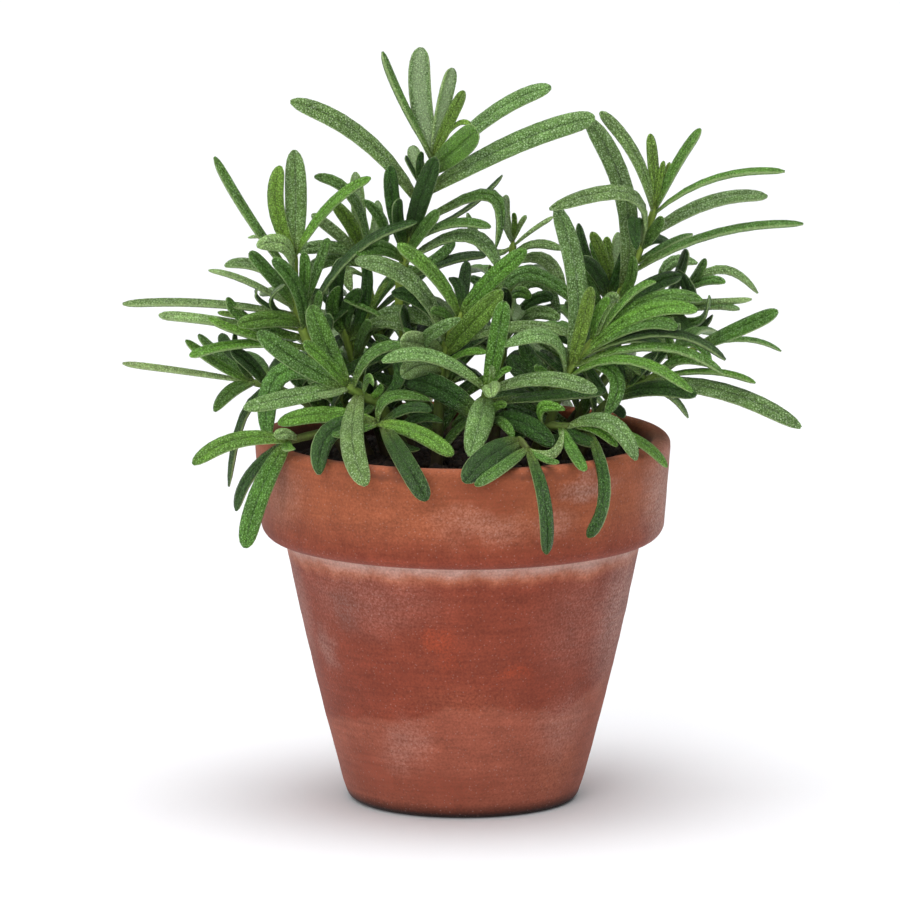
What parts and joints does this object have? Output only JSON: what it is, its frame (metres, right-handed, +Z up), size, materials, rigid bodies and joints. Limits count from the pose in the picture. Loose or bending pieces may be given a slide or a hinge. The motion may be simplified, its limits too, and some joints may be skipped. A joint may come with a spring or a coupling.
{
  "type": "potted rosemary plant",
  "caption": "Young bushy rosemary with narrow blunt leaves on upright and spreading shoots, growing in a tapered terracotta pot with a deep rim and a drainage hole.",
  "frame": {"origin": "centre of the pot's foot, on the surface that the pot stands on, in the middle of the object's bounding box", "axes": "+Z up along the pot's axis, -Y towards the plant's front, +X to the right of someone who faces the front"},
  "size_m": [0.1474, 0.1022, 0.1644],
  "materials": {
    "terracotta": "matte",
    "potting_soil": "matte",
    "rosemary_stem": "matte",
    "rosemary_leaf": "satin"
  },
  "bodies": {
    "root": {"leaf_back_left_1": "rosemary_leaf", "leaf_centre_right_1": "rosemary_leaf", "leaf_centre_right_2": "rosemary_leaf", "leaf_centre_right_3": "rosemary_leaf", "leaf_centre_right_4": "rosemary_leaf", "leaf_centre_right_5": "rosemary_leaf", "leaf_centre_right_6": "rosemary_leaf", "leaf_front_left_1": "rosemary_leaf", "leaf_front_middle_1": "rosemary_leaf", "leaf_front_middle_2": "rosemary_leaf", "leaf_front_right_1": "rosemary_leaf", "leaf_front_right_low_1": "rosemary_leaf", "leaf_left_1": "rosemary_leaf", "leaf_left_2": "rosemary_leaf", "leaf_left_3": "rosemary_leaf", "leaf_left_4": "rosemary_leaf", "leaf_left_5": "rosemary_leaf", "leaf_left_front_1": "rosemary_leaf", "leaf_left_front_2": "rosemary_leaf", "leaf_left_inner_1": "rosemary_leaf", "leaf_left_low_1": "rosemary_leaf", "leaf_left_low_2": "rosemary_leaf", "leaf_middle_1": "rosemary_leaf", "leaf_middle_2": "rosemary_leaf", "leaf_middle_3": "rosemary_leaf", "leaf_middle_4": "rosemary_leaf", "leaf_middle_5": "rosemary_leaf", "leaf_middle_6": "rosemary_leaf", "leaf_right_1": "rosemary_leaf", "leaf_right_2": "rosemary_leaf", "leaf_right_3": "rosemary_leaf", "leaf_right_4": "rosemary_leaf", "leaf_right_5": "rosemary_leaf", "leaf_right_6": "rosemary_leaf", "leaf_right_7": "rosemary_leaf", "leaf_right_inner_1": "rosemary_leaf", "leaf_right_low_1": "rosemary_leaf", "pot": "terracotta", "soil": "potting_soil", "stem_back": "rosemary_stem", "stem_back_left": "rosemary_stem", "stem_back_low_left": "rosemary_stem", "stem_back_low_right": "rosemary_stem", "stem_back_middle": "rosemary_stem", "stem_back_right": "rosemary_stem", "stem_centre_right": "rosemary_stem", "stem_far_left": "rosemary_stem", "stem_front_centre": "rosemary_stem", "stem_front_left": "rosemary_stem", "stem_front_middle": "rosemary_stem", "stem_front_right": "rosemary_stem", "stem_front_right_low": "rosemary_stem", "stem_left": "rosemary_stem", "stem_left_front": "rosemary_stem", "stem_left_inner": "rosemary_stem", "stem_left_low": "rosemary_stem", "stem_middle": "rosemary_stem", "stem_right": "rosemary_stem", "stem_right_inner": "rosemary_stem", "stem_right_low": "rosemary_stem"}
  },
  "joints": []
}
